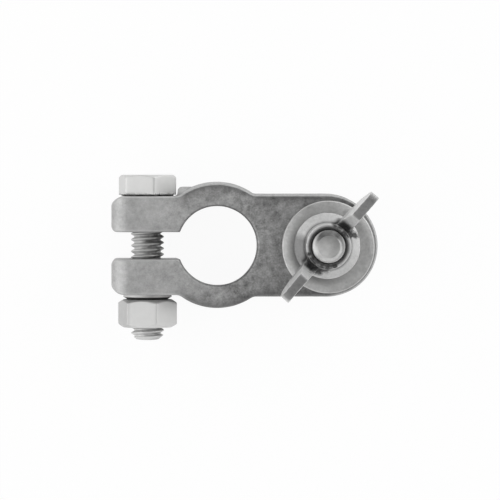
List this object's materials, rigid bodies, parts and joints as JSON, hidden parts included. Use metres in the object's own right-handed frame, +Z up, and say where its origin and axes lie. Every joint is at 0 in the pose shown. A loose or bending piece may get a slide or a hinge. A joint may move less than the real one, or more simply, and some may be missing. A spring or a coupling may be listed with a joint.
{
  "type": "battery terminal clamp",
  "caption": "Cast split-ring battery terminal clamp with a clamp bolt across its ears and a threaded cable stud with washer and wing nut on its pad.",
  "frame": {"origin": "axis of the bore for the battery post, at the underside of the ring", "axes": "+Z up out of the top face, the post enters from -Z; +X from the bore to the cable stud; +Y towards the head of the clamp bolt"},
  "size_m": [0.0643, 0.04, 0.0348],
  "materials": {
    "cast_alloy": "matte",
    "plated_steel": "satin"
  },
  "bodies": {
    "clamp": {"clamp_body": "cast_alloy", "clamp_bolt": "plated_steel", "cable_stud": "plated_steel"},
    "lock_washer": {"lock_washer": "plated_steel"},
    "clamp_nut": {"clamp_nut": "plated_steel"},
    "flat_washer": {"flat_washer": "plated_steel"},
    "wing_nut": {"wing_nut": "plated_steel"}
  },
  "joints": [
    {"name": "clamp_nut_advance", "type": "slide", "parent": "clamp", "child": "lock_washer", "axis": [0, -1, 0], "range_m": [0, 0.00565]},
    {"name": "clamp_nut_turn", "type": "hinge", "parent": "lock_washer", "child": "clamp_nut", "pos_m": [-0.0168, 0, 0.008], "axis": [0, -1, 0], "range_deg": [0, 1440]},
    {"name": "wing_nut_advance", "type": "slide", "parent": "clamp", "child": "flat_washer", "axis": [0, 0, 1], "range_m": [0, 0.00565]},
    {"name": "wing_nut_turn", "type": "hinge", "parent": "flat_washer", "child": "wing_nut", "pos_m": [0.0263, 0, 0], "axis": [0, 0, 1], "range_deg": [0, 1440]}
  ],
  "couplings": [
    {"joint": "clamp_nut_advance", "follows": "clamp_nut_turn", "m_per_rad": 0.00022457},
    {"joint": "wing_nut_advance", "follows": "wing_nut_turn", "m_per_rad": 0.00022457}
  ]
}
